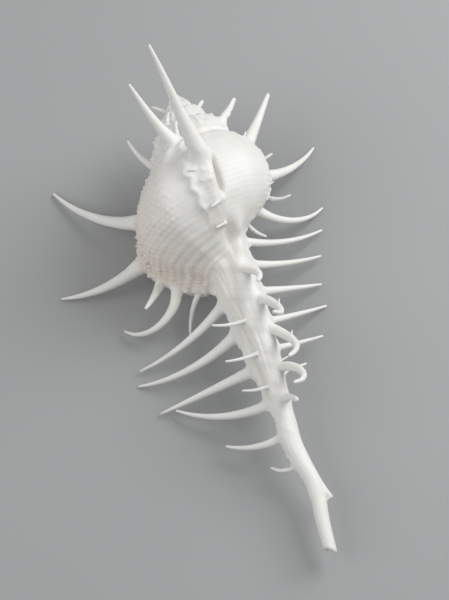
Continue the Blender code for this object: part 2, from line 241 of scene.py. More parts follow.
# %% Canal
ROW_ANGLES = {
    "left": ((0.0, 108.0), (32.0, 107.0), (45.0, 103.0), (70.0, 100.0)),
    "top": ((0.0, -7.0), (30.0, -7.0), (38.0, -26.0), (42.0, -46.0), (60.0, -44.0)),
    "right": ((0.0, -100.0), (13.0, -101.0), (18.0, -112.0), (22.0, -115.0), (29.0, -123.0), (40.0, -118.0),
              (55.0, -116.0)),
    "top edge": ((0.0, -6.0), (31.0, -6.0), (40.0, 5.0), (60.0, 6.0)),
    "left before": ((0.0, 118.0), (30.0, 118.0)),
    "top before": ((0.0, 24.0), (30.0, 24.0)),
    "right before": ((0.0, -90.0), (30.0, -90.0)),
}
CANAL_RIDGE_HEIGHT, CANAL_RIDGE_HALF_WIDTH, CANAL_RIDGE_FROM = 0.5, 24.0, (14.0, 22.0)
CANAL_RIDGE_END, CANAL_RIDGE_FADE = 60.0, 12.0
CANAL_BLEND, WIDE_BLEND, WIDE_BLEND_STATIONS = 0.9, 2.2, (14.0, 24.0, 38.0, 48.0)
INNER_TUBE = ((68.0, 1.22), (77.0, 1.22), (80.0, 1.12), (84.6, 1.0))
LAYER_BREAK, LAYER_BREAK_EDGE, LAYER_BREAK_JAG = 75.4, 0.3, 0.15
JAG_WAVES = ((3, 0.7, 1.0), (11, 0.0, 0.6))
FLAP_ANGLE, FLAP_HALF_WIDTH = -95.0, 24.0
FLAP_LIFT, FLAP_RISE, FLAP_REACH, FLAP_CURVE = 1.1, 4.2, 0.6, 1.6
# Arches and old lip edges: height, half width, slant, middle angle and stations
ARCHES = (0.4, 1.05, 0.022, -35.0, (35.2, 40.6, 46.0, 52.4, 58.2))
OLD_EDGES = (0.1, 0.35, 0.028, 0.0, (38.6, 43.8, 49.7, 55.5, 61.0, 63.6))
BACKBONE_ANGLES = (-85.0, -60.0, 25.0, 80.0)
KNOB_HEIGHT, KNOB_HALF_LENGTH, KNOB_HALF_ANGLE = 0.75, 1.7, 30.0
KNOBS = ((30.3, -30.0), (33.0, -28.0), (37.9, -27.0), (43.2, -31.0), (49.2, -26.0), (55.3, -20.0))
FOLD_DEPTH, FOLD_HALF_ANGLE, FOLD_STATIONS = 0.35, 18.0, (30.0, 34.0, 54.0, 62.0)
FOLDS = ((30.0, 8.0), (36.0, 10.0), (40.0, 26.0), (45.0, 34.0), (51.0, 43.0), (60.0, 50.0))
WHORL_FADE = (48.0, 58.0)


def canal_radius(angle, station):
    """Distance of the canal's wall from its centre."""
    outer = smooth_curve(station, CANAL_OUTLINE)
    fade = np.clip((CANAL_RIDGE_END - station) / CANAL_RIDGE_FADE, 0, 1)
    fade = fade * ease(station, *CANAL_RIDGE_FROM)
    for row in ("left", "top", "right"):
        off_row = off_angle(angle, smooth_curve(station, ROW_ANGLES[row]))
        outer = outer + CANAL_RIDGE_HEIGHT * fade * bump(off_row, CANAL_RIDGE_HALF_WIDTH)
    on_flap = bump(off_angle(angle, FLAP_ANGLE), FLAP_HALF_WIDTH)
    turn = np.radians(angle)
    jag = LAYER_BREAK_JAG * sum(share * np.sin(count * turn + start) for count, start, share in JAG_WAVES)
    layer_end = LAYER_BREAK + jag + FLAP_REACH * on_flap
    flap = np.clip(1 + (station - layer_end) / FLAP_RISE, 0, 1) ** FLAP_CURVE
    outer = outer + FLAP_LIFT * on_flap * flap
    inner = smooth_curve(station, INNER_TUBE)
    broken = ease(station, layer_end, layer_end + LAYER_BREAK_EDGE)
    return outer + (inner - outer) * broken


def in_fold(angle, station):
    """1 along the bottom of the long fold beside the hooks, and 0 away from it."""
    across = bump(angle - smooth_curve(station, FOLDS), FOLD_HALF_ANGLE)
    return across * ease(station, *FOLD_STATIONS[:2]) * (1 - ease(station, *FOLD_STATIONS[2:]))


def canal_relief(angle, station):
    """Height of the arches, knobs, old lip edges and the long fold on the top of the canal."""
    relief = np.zeros(np.broadcast(angle, station).shape)
    over_top = window(angle, *BACKBONE_ANGLES)
    for height, half_width, slant, middle, places in (ARCHES, OLD_EDGES):
        for at in places:
            relief += height * bump(station - at + slant * (angle - middle), half_width) * over_top
    for knob, knob_angle in KNOBS:
        on_knob = bump(station - knob, KNOB_HALF_LENGTH) * bump(angle - knob_angle, KNOB_HALF_ANGLE)
        relief += KNOB_HEIGHT * on_knob
    return relief - FOLD_DEPTH * in_fold(angle, station)


def growth_at(angle):
    """The growth angle of the outermost wall: past the lip lies the wall of the whorl before."""
    return np.where(angle > LIP_ANGLE + 0.1, angle - 360.0, angle)


def surface_radius(angle, station):
    """The outside of the shell, without its spines and fine relief."""
    whorl = whorl_radius(growth_at(angle), station) * (1 - ease(station, *WHORL_FADE))
    blend = CANAL_BLEND + WIDE_BLEND * window(station, *WIDE_BLEND_STATIONS)
    return blend_max(whorl, canal_radius(angle, station) + canal_relief(angle, station), blend)


def place_on_axis(angle, station, radius):
    """Points from angles about the axis, stations along it and distances from it."""
    turn = np.radians(angle)
    across = smooth_curve(station, CANAL_SWAY) - radius * np.sin(turn)
    return np.stack(np.broadcast_arrays(across, -station, radius * np.cos(turn)), axis=-1)


print("canal width at station 40:", round(2 * float(canal_radius(np.array(0.0), np.array(40.0))), 2), "mm")

# %% [markdown]
# ## A grid of points over the whole shell
#
# The wall starts as a sphere, whose rings will be drawn down the axis and whose columns stand at even angles
# round it. Even steps down the axis would stretch the faces on the steep shoulders, where the cords run
# close together. So each column measures its own outline and spreads its rings evenly along that, a little
# wider apart on the plain canal. The last rings turn in at the cut tip and line its small bore.

# %% Grid
COLUMNS, RINGS, BORE_RINGS = 250, 316, 3
FINE_ANGLES, FINE_STATIONS = 3601, 1200
CROWDED_ANGLES = ((-9.0, 6.0, 2.0), (12.0, 5.0, 1.0), (75.0, 35.0, 0.5))
CANAL_RING_WEIGHT, CANAL_RINGS_FROM = 0.5, (38.0, 60.0)
POLE_STATION, FIRST_STATION = 0.01, 0.02
TIP_SLANT, TIP_JAG = 0.6, 0.04
BORE_SHARE, BORE_DEPTH, BORE_STEP, BORE_NARROWING = 0.35, 4.0, 0.6, 0.8


def column_angles():
    """The angle of each column: closer by the edges of the top varix and on the beaded left side."""
    fine = np.linspace(LIP_ANGLE, LIP_ANGLE + 360.0, FINE_ANGLES)
    crowd = 1 + sum(more * bump(off_angle(fine, middle), width) for middle, width, more in CROWDED_ANGLES)
    share = np.concatenate([[0], np.cumsum(crowd[1:])]) / np.sum(crowd[1:])
    return (np.interp(np.arange(COLUMNS) / COLUMNS, share, fine) + 180.0) % 360.0 - 180.0


def wall_grid():
    """The angle of each column, and the station and radius of every ring on every column."""
    angle = column_angles()
    turn = np.radians(angle)
    tip = SHELL_LENGTH - TIP_SLANT * np.sin(turn) - TIP_JAG * (1 + np.sin(5 * turn) * np.sin(2 * turn + 1))
    down = np.linspace(0.0, 1.0, FINE_STATIONS)[:, None]
    station = FIRST_STATION + (tip - FIRST_STATION) * down
    radius = surface_radius(angle, station)
    step = np.hypot(np.diff(station, axis=0), np.diff(radius, axis=0))
    step = step * (1 - (1 - CANAL_RING_WEIGHT) * ease(station[1:], *CANAL_RINGS_FROM))
    along = np.vstack([np.zeros((1, COLUMNS)), np.cumsum(step, axis=0)])
    share = np.linspace(0, 1, RINGS - BORE_RINGS)
    spread = [np.interp(share * along[-1, c], along[:, c], station[:, c]) for c in range(COLUMNS)]
    poles = np.full((2, COLUMNS), ((POLE_STATION,), (SHELL_LENGTH - BORE_DEPTH,)))
    stations = np.vstack([poles[0], np.stack(spread, 1), tip, tip - BORE_STEP * BORE_DEPTH, poles[1]])
    radii = surface_radius(angle, stations)
    end = radii[-4].copy()
    radii[0] = radii[-1] = 0
    radii[-3], radii[-2] = BORE_SHARE * end, BORE_NARROWING * BORE_SHARE * end
    return angle, stations, radii


angle, stations, radii = wall_grid()
print("rings and columns:", stations.shape, "widest radius:", round(float(radii.max()), 2), "mm")

# %% [markdown]
# ## Cords, beads and growth folds
#
# Cords wind round every whorl and on down the canal, each at a fixed place on the outline, so they spread as
# the shell grows. A strong cord alternates with a weak one. Growth folds cross them and raise a bead at each
# crossing, small on the body and bold on the spire. On a varix the cords swell into scales, which give the
# shell its fringed outline. On top and on the right of the base, where the shell has been rubbed, they are
# nearly gone. Far out on the left the wall sinks by up to a millimetre, so that its beads and not the wall
# reach the outline. A displacement texture could do this, but it knows nothing of growth: here the height is
# a formula of growth and place, and the wall is pushed out along its own normals by it.

# %% Fine relief
CORD_PITCH, CORD_HEIGHT, CORD_SHARPNESS, WEAK_CORD = 1.72, 0.12, 2.0, 0.7
CORD_WANDER, CORD_WANDER_SIZE, BOLD_CORD_PLACES = 0.25, 6.0, (27.0, 31.0)
BEAD_HEIGHT, BEAD_ANGLE, BEAD_WANDER = 0.7, 5.4, 1.5
BEAD_SHARE_ON_TOP, BOLD_BEAD_ANGLES = 0.35, (66.0, 88.0)
BEAD_LOSS_AT_BASE, BEAD_LOSS_PLACES = 0.55, (24.0, 29.0)
LEFT_FLANK, RIGHT_FLANK = (13.0, 50.0), (62.0, 92.0)
LEFT_SINK_ANGLES = (45.0, 85.0, 112.0, 117.0)
LEFT_SINK = ((12.0, 0.0), (15.0, 0.8), (18.0, 0.95), (20.5, 0.6), (23.0, 0.35), (25.5, 0.0))
WORN_PLACES, WORN_SHARE = (12.0, 14.0, 24.0, 29.0), 0.85
WORN_BASE = (-75.0, -50.0, -15.0, 12.0)
ROUGH_SIZE, UNEVEN_MEAN, UNEVEN_SWING, UNEVEN_LIMITS = 1.1, 0.8, 1.2, (0.1, 1.7)
SPIRE_GROWTH, SPIRE_KNOB_ANGLE, SPIRE_KNOB_SHARPNESS, SPIRE_KNOB_HEIGHT = (150.0, 240.0), 15.0, 1.5, 0.65
FRINGE_HEIGHT, FRINGE_HALF_ANGLE, FRINGES = 0.4, 3.5, ((13.0, 1.0), (-1.0, 0.7))
LUMP_HEIGHT, LUMP_SIZE = 0.12, 2.6
SCALE_LIMITS, LOSS_ON_CANAL = (0.3, 1.2), 0.8
APEX_FADE, END_FADE, END_LOSS = (0.2, 2.0), (60.0, 74.0), 0.85
STREAK_HEIGHT, STREAK_LENGTH, STREAKS_PER_DEGREE, STREAKS_ON_RIGHT = 0.17, 4.0, 0.10, 0.25
STREAK_ANGLES, STREAK_STATIONS, STREAK_END = (-25.0, 10.0), (50.0, 62.0), (66.0, 74.0)
RAGGED_HEIGHT, RAGGED_SIZE, RAGGED_END = 0.8, 0.75, (68.0, 73.0)
RAGGED_OFF_ROW, RAGGED_HALF_ANGLE = -8.0, 16.0
CANAL_TAKES_OVER, SLIT_ANGLE = (-1.0, 0.6), 165.0
LIP_CLIFF, LIP_CLIFF_REACH = 118.8, (1.0, 5.0)
CREASES = ((21.3, -6.0, 19.3, 10.5), (22.5, -6.0, 22.1, 4.5), (25.7, -11.0, 26.4, 3.0),
           (28.8, -8.5, 29.2, 5.5))
CREASE_HEIGHT, CREASE_RISE, CREASE_FALL, CREASE_SPAN = 0.22, 1.0, 0.25, (-0.25, 0.15, 0.7, 1.1)
ROOT_RIDGES = ((16.5, -3.0, 25.5, -2.0, 1.0, 6.0), (12.2, 24.0, 17.5, 29.0, 0.8, 6.5))
BASE_LUMPS = ((28.9, -24.0, 0.9, 1.7, 10.0), (31.8, -27.0, 0.7, 1.4, 14.0), (28.2, -3.0, -0.4, 1.5, 9.0),
              (30.6, -10.0, -0.6, 2.0, 12.0))


def lumps(points, size):
    """Smooth random lumps between -1 and 1, about one to a size in millimetres."""
    flat = (points / size).reshape(-1, 3)
    return np.array([noise.noise(Vector(point)) for point in flat]).reshape(points.shape[:-1])


def growth_and_place(angle, station):
    """Growth angle of the wall, its place on the outline, its scale, and how far it is canal, not whorl."""
    growth = growth_at(angle)
    canal = ease(canal_radius(angle, station) - whorl_radius(growth, station), *CANAL_TAKES_OVER)
    growth = np.where((canal > 0.5) & (angle < SLIT_ANGLE), angle, growth)
    for _ in range(WHORLS):
        place, scale = place_on_outline(growth, station)
        growth = np.where(place < WHORL_OUTLINE[0][0] + 0.6, growth - 360.0, growth)
    place, scale = place_on_outline(growth, station)
    return growth, place, scale, canal


def creases(angle, station):
    """Height of the creases that run from the small spines on the top varix to its front edge."""
    relief = np.zeros(np.broadcast(angle, station).shape)
    for root, root_angle, end, end_angle in CREASES:
        along = (angle - root_angle) / (end_angle - root_angle)
        off = station - (root + (end - root) * np.clip(along, 0, 1))
        ridge = bump(off, np.where(off > 0, CREASE_FALL, CREASE_RISE))
        rise, fall = ease(along, *CREASE_SPAN[:2]), ease(along, *CREASE_SPAN[2:])
        relief += CREASE_HEIGHT * ridge * rise * (1 - fall)
    return relief


def root_ridges(angle, station):
    """Height of the ridges that the two largest spines on top send down the wall from their roots."""
    relief = np.zeros(np.broadcast(angle, station).shape)
    for start, start_angle, end, end_angle, height, half_angle in ROOT_RIDGES:
        along = (station - start) / (end - start)
        middle = start_angle + (end_angle - start_angle) * np.clip(along, 0, 1)
        fade = ease(along, -0.15, 0.05) * np.clip(1 - along, 0, 1)
        relief += height * bump(angle - middle, half_angle) * fade
    return relief


def base_lumps(angle, station):
    """Height of the lumps and hollows by which the top varix goes over into the hooks' backbone."""
    return sum(height * bump(station - middle, half_length) * bump(angle - middle_angle, half_angle)
               for middle, middle_angle, height, half_length, half_angle in BASE_LUMPS)


def cord_place(place, points):
    """The place on the outline, a little unsteady, that the cords follow."""
    return place + CORD_WANDER * lumps(points, CORD_WANDER_SIZE)


def fine_relief(angle, station, points):
    """Height of the cords, beads, folds and scales over the plain wall."""
    growth, place, scale, canal = growth_and_place(angle, station)
    rough = lumps(points, ROUGH_SIZE)
    at = cord_place(place, points)
    strong = ripples(at, CORD_PITCH, CORD_SHARPNESS)
    weak = WEAK_CORD * ripples(at + 0.5 * CORD_PITCH, CORD_PITCH, CORD_SHARPNESS)
    cords = strong + weak
    beads = strong * ripples(growth + BEAD_WANDER * rough, BEAD_ANGLE)
    beads = beads + weak * ripples(growth + 0.5 * BEAD_ANGLE + BEAD_WANDER * rough, BEAD_ANGLE)
    flank = ease(angle, *LEFT_FLANK) + ease(-angle, *RIGHT_FLANK)
    uneven = np.clip(UNEVEN_MEAN + UNEVEN_SWING * rough, *UNEVEN_LIMITS)
    by_base = ease(place, *WORN_PLACES[2:]) * (1 - window(angle, *WORN_BASE))
    near_ends = np.maximum(by_base, 1 - ease(place, *WORN_PLACES[:2]))
    worn = WORN_SHARE * (1 - flank) * (1 - near_ends)
    bold = BEAD_HEIGHT * (BEAD_SHARE_ON_TOP + (1 - BEAD_SHARE_ON_TOP) * ease(angle, *BOLD_BEAD_ANGLES))
    kept_at_base = 1 - BEAD_LOSS_AT_BASE * ease(place, *BEAD_LOSS_PLACES)
    height = CORD_HEIGHT * cords * (1 + ease(place, *BOLD_CORD_PLACES)) * (1 - worn)
    height = height + bold * beads * flank * uneven * kept_at_base
    height = height - window(angle, *LEFT_SINK_ANGLES) * smooth_curve(place, LEFT_SINK)
    knobs = ripples(growth, SPIRE_KNOB_ANGLE, SPIRE_KNOB_SHARPNESS)
    height += SPIRE_KNOB_HEIGHT * ease(-growth, *SPIRE_GROWTH) * cords * knobs * uneven
    fringe = sum(share * bump(off_varix(growth) - at, FRINGE_HALF_ANGLE) for at, share in FRINGES)
    height += FRINGE_HEIGHT * fringe * cords * uneven * flank
    height += LUMP_HEIGHT * lumps(points, LUMP_SIZE)
    height *= np.clip(scale, *SCALE_LIMITS) * (1 - LOSS_ON_CANAL * canal)
    height = height * ease(station, *APEX_FADE) * (1 - END_LOSS * ease(station, *END_FADE))
    height = height + creases(angle, station) + root_ridges(angle, station) + base_lumps(angle, station)
    height = height + canal_texture(angle, station, points) * canal
    return height * ease(abs(angle - LIP_CLIFF), *LIP_CLIFF_REACH)


def canal_texture(angle, station, points):
    """Height of the long streaks down the canal, and of the ragged growth beside its left row of spines."""
    streaked = np.stack(np.broadcast_arrays(angle * STREAKS_PER_DEGREE, station / STREAK_LENGTH, 0.0), -1)
    left = ease(angle, *STREAK_ANGLES) * (1 - ease(station, *STREAK_STATIONS))
    strength = STREAKS_ON_RIGHT + (1 - STREAKS_ON_RIGHT) * left
    streaks = lumps(streaked, 1.0) * strength * (1 - ease(station, *STREAK_END))
    off_row = angle - smooth_curve(station, ROW_ANGLES["left"]) - RAGGED_OFF_ROW
    rough = np.clip(lumps(points, RAGGED_SIZE), 0, 1)
    ragged = bump(off_row, RAGGED_HALF_ANGLE) * rough * (1 - ease(station, *RAGGED_END))
    return STREAK_HEIGHT * streaks + RAGGED_HEIGHT * ragged


def outward(points):
    """Unit normals of a grid of points, rings down and columns round."""
    round_it = np.roll(points, -1, axis=1) - np.roll(points, 1, axis=1)
    normal = np.cross(round_it, np.gradient(points, axis=0))
    return normal / np.maximum(np.linalg.norm(normal, axis=-1, keepdims=True), 1e-9)


around = np.broadcast_to(angle, stations.shape)
plain = place_on_axis(around, stations, radii)
relief = fine_relief(around, stations, plain)
print("fine relief from", round(float(relief.min()), 3), "to", round(float(relief.max()), 3), "mm")

# %% [markdown]
# ## The spines' places
#
# Each spine leaves the wall at its station, turned about the axis and leaning towards the apex, and both
# angles change evenly on the way to its tip, which bends it. Halfway, a hook leans further by its bow. The
# table is the one that the solid was made from, with three thin spines drawn thinner, because every tip has
# to end where the solid's does. A few tips are broken off blunt.

# %% Spine table
Spine = namedtuple("Spine", "row station length turn tip_turn lean tip_lean width bow", defaults=(0.0,))
SPINE_TABLE = (
    ("left", 18.9, 20.4, 120, 122, 23, 61, 2.4),
    ("left", 26.0, 15.9, 109, 109, -14, 20, 2.3),
    ("left", 30.4, 6.7, 54, 54, -49, -39, 1.6),
    ("left", 32.3, 15.2, 100, 127, -75, 50, 1.9),
    ("left", 34.4, 9.1, 135, 136, -13, -69, 1.2),
    ("left", 38.6, 19.1, 110, 112, -28, 2, 1.9),
    ("left", 44.5, 20.2, 109, 113, -21, 17, 2.0),
    ("left", 51.5, 18.1, 110, 110, 0, 1, 2.0),
    ("left", 57.9, 17.5, 109, 111, 0, 41, 1.8),
    ("left", 64.0, 10.3, 108, 109, -4, 35, 1.5),
    ("left", 69.3, 4.8, 114, 114, -9, 52, 1.0),
    ("top", 17.9, 21.4, -2, 11, 42, 47, 2.6),
    ("top", 35.2, 9.1, -65, 31, -25, -32, 1.9, -11),
    ("top", 40.9, 15.6, -44, 27, -28, 4, 1.8, -25),
    ("top", 46.0, 16.5, -53, 36, -44, -22, 1.8, -5),
    ("top", 52.9, 15.2, -54, 39, -16, -7, 1.7, -25),
    ("top", 58.1, 6.4, -17, -17, -18, -34, 1.4),
    ("right", 13.1, 12.0, -116, -116, 50, 53, 2.2),
    ("right", 15.9, 2.8, -87, -87, 15, 15, 0.8),
    ("right", 18.3, 13.2, -125, -125, 4, 41, 1.9),
    ("right", 21.6, 4.8, -82, -81, -52, 12, 1.0),
    ("right", 23.9, 13.5, -120, -120, -42, 34, 1.7),
    ("right", 25.5, 4.5, -98, -97, -76, -33, 0.9),
    ("right", 28.9, 15.5, -117, -118, -17, 17, 1.5),
    ("right", 33.3, 13.4, -118, -118, -10, 8, 1.5),
    ("right", 38.4, 12.1, -122, -122, -2, 2, 1.5),
    ("right", 43.9, 12.1, -123, -123, 5, 10, 1.3),
    ("right", 48.8, 9.3, -119, -119, 3, 8, 1.1),
    ("right", 53.1, 4.9, -115, -114, 4, 12, 0.9),
    ("left before", 10.9, 9.1, 126, 126, 43, 78, 1.6),
    ("top before", 12.3, 13.3, 22, 22, 40, 50, 2.0),
    ("right before", 8.2, 5.3, -90, -90, 35, 52, 1.5),
    ("left before", 3.1, 4.0, 111, 111, 42, 42, 1.0),
    ("right before", 4.4, 2.0, -88, -88, 38, 38, 1.0),
    ("top edge", 20.7, 4.5, 72, 78, 10, 12, 0.8),
    ("top edge", 22.1, 3.1, 68, 74, -5, -4, 0.8),
    ("top edge", 25.7, 2.5, 64, 70, -23, -22, 0.6),
    ("top edge", 28.7, 2.1, 56, 62, -19, -19, 0.6),
    ("top edge", 43.8, 6.5, 72, 72, -12, 18, 0.8),
    ("top edge", 49.7, 6.4, 70, 70, -13, 7, 0.8),
    ("top edge", 55.5, 5.4, 70, 70, -14, 16, 0.8),
)
SPINES = [Spine(*row) for row in SPINE_TABLE]
TIP_WIDTH = 0.35
BLUNT_TIPS = {3: 0.5, 13: 0.6, 14: 0.6, 15: 0.6, 16: 0.6, 17: 0.75, 18: 0.6, 32: 0.55, 34: 0.45}
ROOT_INSET = 0.3


def direction(turn, lean):
    """A unit direction, turned about the axis and leaning towards the apex."""
    turn, lean = math.radians(turn), math.radians(lean)
    return np.array((-math.sin(turn) * math.cos(lean), math.sin(lean), math.cos(turn) * math.cos(lean)))


def spine_root(spine):
    """Where a spine leaves the solid's plain wall: from there its tip ends where the solid's does."""
    angle = smooth_curve(spine.station, ROW_ANGLES[spine.row])
    whorl = whorl_radius(growth_at(angle), np.array(spine.station), smooth_relief, lip_flare=0.0)
    radius = blend_max(whorl, canal_radius(angle, np.array(spine.station)), CANAL_BLEND)
    return place_on_axis(angle, spine.station, float(radius))


roots = np.array([spine_root(spine) for spine in SPINES])
print(len(SPINES), "spines, the longest", max(spine.length for spine in SPINES), "mm")

# %% [markdown]
# ## The wall
#
# A spine grows out of a fold of the lip, so the wall swells into it instead of being pierced by it. A mound
# is raised on the wall round each root before the spine is joined to it. Then the sphere's vertices are
# moved onto the grid, ring by ring. The very tip of the apex is trimmed to where the solid ends.

# %% Wall
MOUND_HEIGHT, MOUND_SPREAD, MOUNDS_FROM, MOUND_SMOOTHING = 0.36, 0.95, (0.5, 3.0), 2
HOOKS, LOW_MOUND = range(13, 18), 0.25
APEX_TRIM = 0.02


def deselect_all():
    if bpy.context.object and bpy.context.object.mode != "OBJECT":
        bpy.ops.object.mode_set(mode="OBJECT")
    bpy.ops.object.select_all(action="DESELECT")


def make_active(piece):
    deselect_all()
    piece.select_set(True)
    bpy.context.view_layer.objects.active = piece


def add_piece(name, operator, **sizes):
    """A new mesh object, made by one of Blender's operators for primitives."""
    deselect_all()
    operator(**sizes)
    bpy.context.object.name = name
    return bpy.context.object


def vertex_points(piece):
    """The places of a mesh's vertices."""
    flat = np.empty(len(piece.data.vertices) * 3, dtype=np.float32)
    piece.data.vertices.foreach_get("co", flat)
    return flat.reshape(-1, 3).astype(float)


def sphere_grid(name, columns, rings):
    """A sphere primitive, with the column and the ring that each of its vertices stands on."""
    sphere = add_piece(name, bpy.ops.mesh.primitive_uv_sphere_add, segments=columns, ring_count=rings)
    sphere.data.name = name
    x, y, z = vertex_points(sphere).T
    column = np.rint(np.arctan2(y, x) / (2 * math.pi) * columns).astype(int) % columns
    ring = np.rint(np.arccos(np.clip(z, -1, 1)) / math.pi * rings).astype(int)
    return sphere, column, ring


def set_points(piece, points):
    """Moves a mesh's vertices to points given in millimetres, and turns its faces outwards."""
    piece.data.vertices.foreach_set("co", (points * MM).astype(np.float32).ravel())
    piece.data.update()
    make_active(piece)
    bpy.ops.object.mode_set(mode="EDIT")
    bpy.ops.mesh.select_all(action="SELECT")
    bpy.ops.mesh.normals_make_consistent(inside=False)
    bpy.ops.object.mode_set(mode="OBJECT")


mounds = np.zeros(stations.shape)
for number, (spine, root) in enumerate(zip(SPINES, roots), start=1):
    away = np.linalg.norm(plain - root, axis=-1)
    low = number in HOOKS or spine.row == "top edge"
    mounds += MOUND_HEIGHT * spine.width * (LOW_MOUND if low else 1) * bump(away, MOUND_SPREAD * spine.width)
mounds *= ease(stations, *MOUNDS_FROM)
height = relief * np.exp(-MOUND_SMOOTHING * mounds) + mounds
wall_points = plain + outward(plain) * height[..., None]
wall_points[-BORE_RINGS - 1:] = plain[-BORE_RINGS - 1:]
solid_end = -APEX_TRIM + math.tan(math.radians(REST_DIP)) * np.minimum(wall_points[..., 2], 0)
wall_points[..., 1] = np.minimum(wall_points[..., 1], solid_end)
shell, column, ring = sphere_grid("murex_shell_surface", COLUMNS, RINGS)
set_points(shell, wall_points[ring, column])
print("wall:", len(shell.data.polygons), "faces; highest mound", round(float(mounds.max()), 2), "mm")

# %% [markdown]
# ## The spines
#
# A curve with a bevel would give a plain bent cone. These spines are gutters that have closed up, so each
# one has a flared root, a shallow groove on the side that faced the lip, faint lumps and a rounded or broken
# tip. The two largest on top spread widely at the root, which leans to the right, and the hooks hardly spread
# at all. Each is a sphere drawn out along the spine's path. The section is carried along the path without
# twisting, which keeps the groove in line.

# %% Spines
SPINE_COLUMNS, SPINE_RINGS, PATH_STEPS = 16, 26, 120
SMALL_SPINE, SMALL_GRID = 6.0, (10, 14)
SPINE_TAPER = 0.9
ROOT_SPREAD, HOOK_ROOT = (0.45, 0.7), (0.2, 0.5)
WIDE_ROOTS = {12: (0.8, 1.5), 31: (0.7, 1.2), 32: (1.2, 0.9)}
ROOT_DEPTH, ROOT_DEPTH_IN_WIDTHS = 1.2, 1.2
TIP_RINGS, ROUND_CAP, FLAT_CAP, FLAT_CUT_FROM = (0.5, 0.12), 2, 6, 0.7
GROOVE_DEPTH, GROOVE_WIDTH, GROOVE_SIDE = 0.14, 0.5, 1.5 * math.pi
SPINE_LUMP, SPINE_LUMP_SIZE = 0.035, 0.9
ROOT_SHIFTS, ROOT_SHIFT_FADE = {12: -6.0, 31: -6.0, 35: 3.0, 36: 4.0, 37: 2.0}, 4


def spine_path(spine, root, rings, tip_width=TIP_WIDTH):
    """Points along a spine from inside the wall to its tip, its direction and the length run at each."""
    depth = min(ROOT_DEPTH, ROOT_DEPTH_IN_WIDTHS * spine.width)
    run = np.concatenate([[-depth], np.linspace(-0.5 * depth, spine.length, rings)])
    run[-3:-1] = spine.length - tip_width * np.array(TIP_RINGS)
    fine = np.linspace(0, 1, PATH_STEPS + 1)
    turns = spine.turn + (spine.tip_turn - spine.turn) * fine
    leans = spine.lean + (spine.tip_lean - spine.lean) * fine + spine.bow * 4 * fine * (1 - fine)
    heading = np.array([direction(turn, lean) for turn, lean in zip(turns, leans)])
    middle = 0.5 * (heading[1:] + heading[:-1]) * spine.length / PATH_STEPS
    walk = np.vstack([np.zeros(3), np.cumsum(middle, axis=0)])
    share = np.clip(run / spine.length, 0, 1)
    out = np.array((root[0], 0, root[2])) / np.hypot(root[0], root[2])
    points = root - ROOT_INSET * out + np.stack([np.interp(share, fine, walk[:, k]) for k in range(3)], 1)
    lies_flat = 1 - abs(out.dot(heading[0]))
    points += np.minimum(run, 0)[:, None] * (heading[0] * (1 - lies_flat) + out * lies_flat)
    headings = np.stack([np.interp(share, fine, heading[:, k]) for k in range(3)], 1)
    return points, headings / np.linalg.norm(headings, axis=1, keepdims=True), run


def carried_sides(headings, first_side):
    """Two unit vectors across the path at each point, carried along it without twisting."""
    sides = []
    side = first_side
    for heading in headings:
        side = side - heading * side.dot(heading)
        side = side / np.linalg.norm(side)
        sides.append(side)
    sides = np.array(sides)
    return sides, np.cross(headings, sides)


def spine_widths(run, length, width, tip_width, flare, reach):
    """Width of a spine at each run of its length: flared at the root, tapered, and round at the tip."""
    share = np.clip(run / length, 0, 1)
    widths = tip_width + (width - tip_width) * (1 - share) ** SPINE_TAPER
    widths = widths * (1 + flare * np.exp(-np.maximum(run, 0) / (reach * width)))
    cap = np.clip((run - length + 0.5 * tip_width) / (0.5 * tip_width), 0, 1)
    return widths * np.sqrt(np.maximum(1 - cap ** (FLAT_CAP if tip_width > FLAT_CUT_FROM else ROUND_CAP), 0))


def make_spine(number, spine, root, tip_width=TIP_WIDTH):
    """One spine as a closed mesh."""
    columns, rings = SMALL_GRID if spine.length < SMALL_SPINE else (SPINE_COLUMNS, SPINE_RINGS)
    tip_width = BLUNT_TIPS.get(number, tip_width)
    points, headings, run = spine_path(spine, root, rings, tip_width)
    shift = math.radians(ROOT_SHIFTS.get(number, 0.0)) * np.array((-root[2], 0.0, root[0]))
    points = points + shift * (1 - np.clip(run / spine.length, 0, 1))[:, None] ** ROOT_SHIFT_FADE
    spread = HOOK_ROOT if number in HOOKS else WIDE_ROOTS.get(number, ROOT_SPREAD)
    widths = spine_widths(run, spine.length, spine.width, tip_width, *spread)
    widths[0] = widths[-1] = 0
    side, over = carried_sides(headings, np.array((0.0, 1.0, 0.0)))
    place, column, ring = sphere_grid(f"spine_{number}", columns, rings)
    turn = 2 * math.pi * column / columns
    growth_side = bump((turn - GROOVE_SIDE + math.pi) % (2 * math.pi) - math.pi, GROOVE_WIDTH)
    groove = GROOVE_DEPTH * growth_side * np.clip(1 - run[ring] / spine.length, 0, 1)
    radius = 0.5 * widths[ring] * (1 - groove)
    round_it = np.cos(turn)[:, None] * side[ring] + np.sin(turn)[:, None] * over[ring]
    spots = points[ring] + radius[:, None] * round_it
    lump = SPINE_LUMP * lumps(spots, SPINE_LUMP_SIZE) * np.clip(widths[ring], 0, 1)
    spots = spots + lump[:, None] * (spots - points[ring])
    set_points(place, spots)
    return place


spines = [make_spine(number, spine, root) for number, (spine, root) in enumerate(zip(SPINES, roots), start=1)]
print("spines:", sum(len(spine.data.polygons) for spine in spines), "faces in all")

# %% [markdown]
# ## The spikelets
#
# Tiny prickles stand between the spines of the right row and on the backs of three hooks. They are too small
# for the solid. They are spines like the others, so the same function makes them from rows of the same kind.

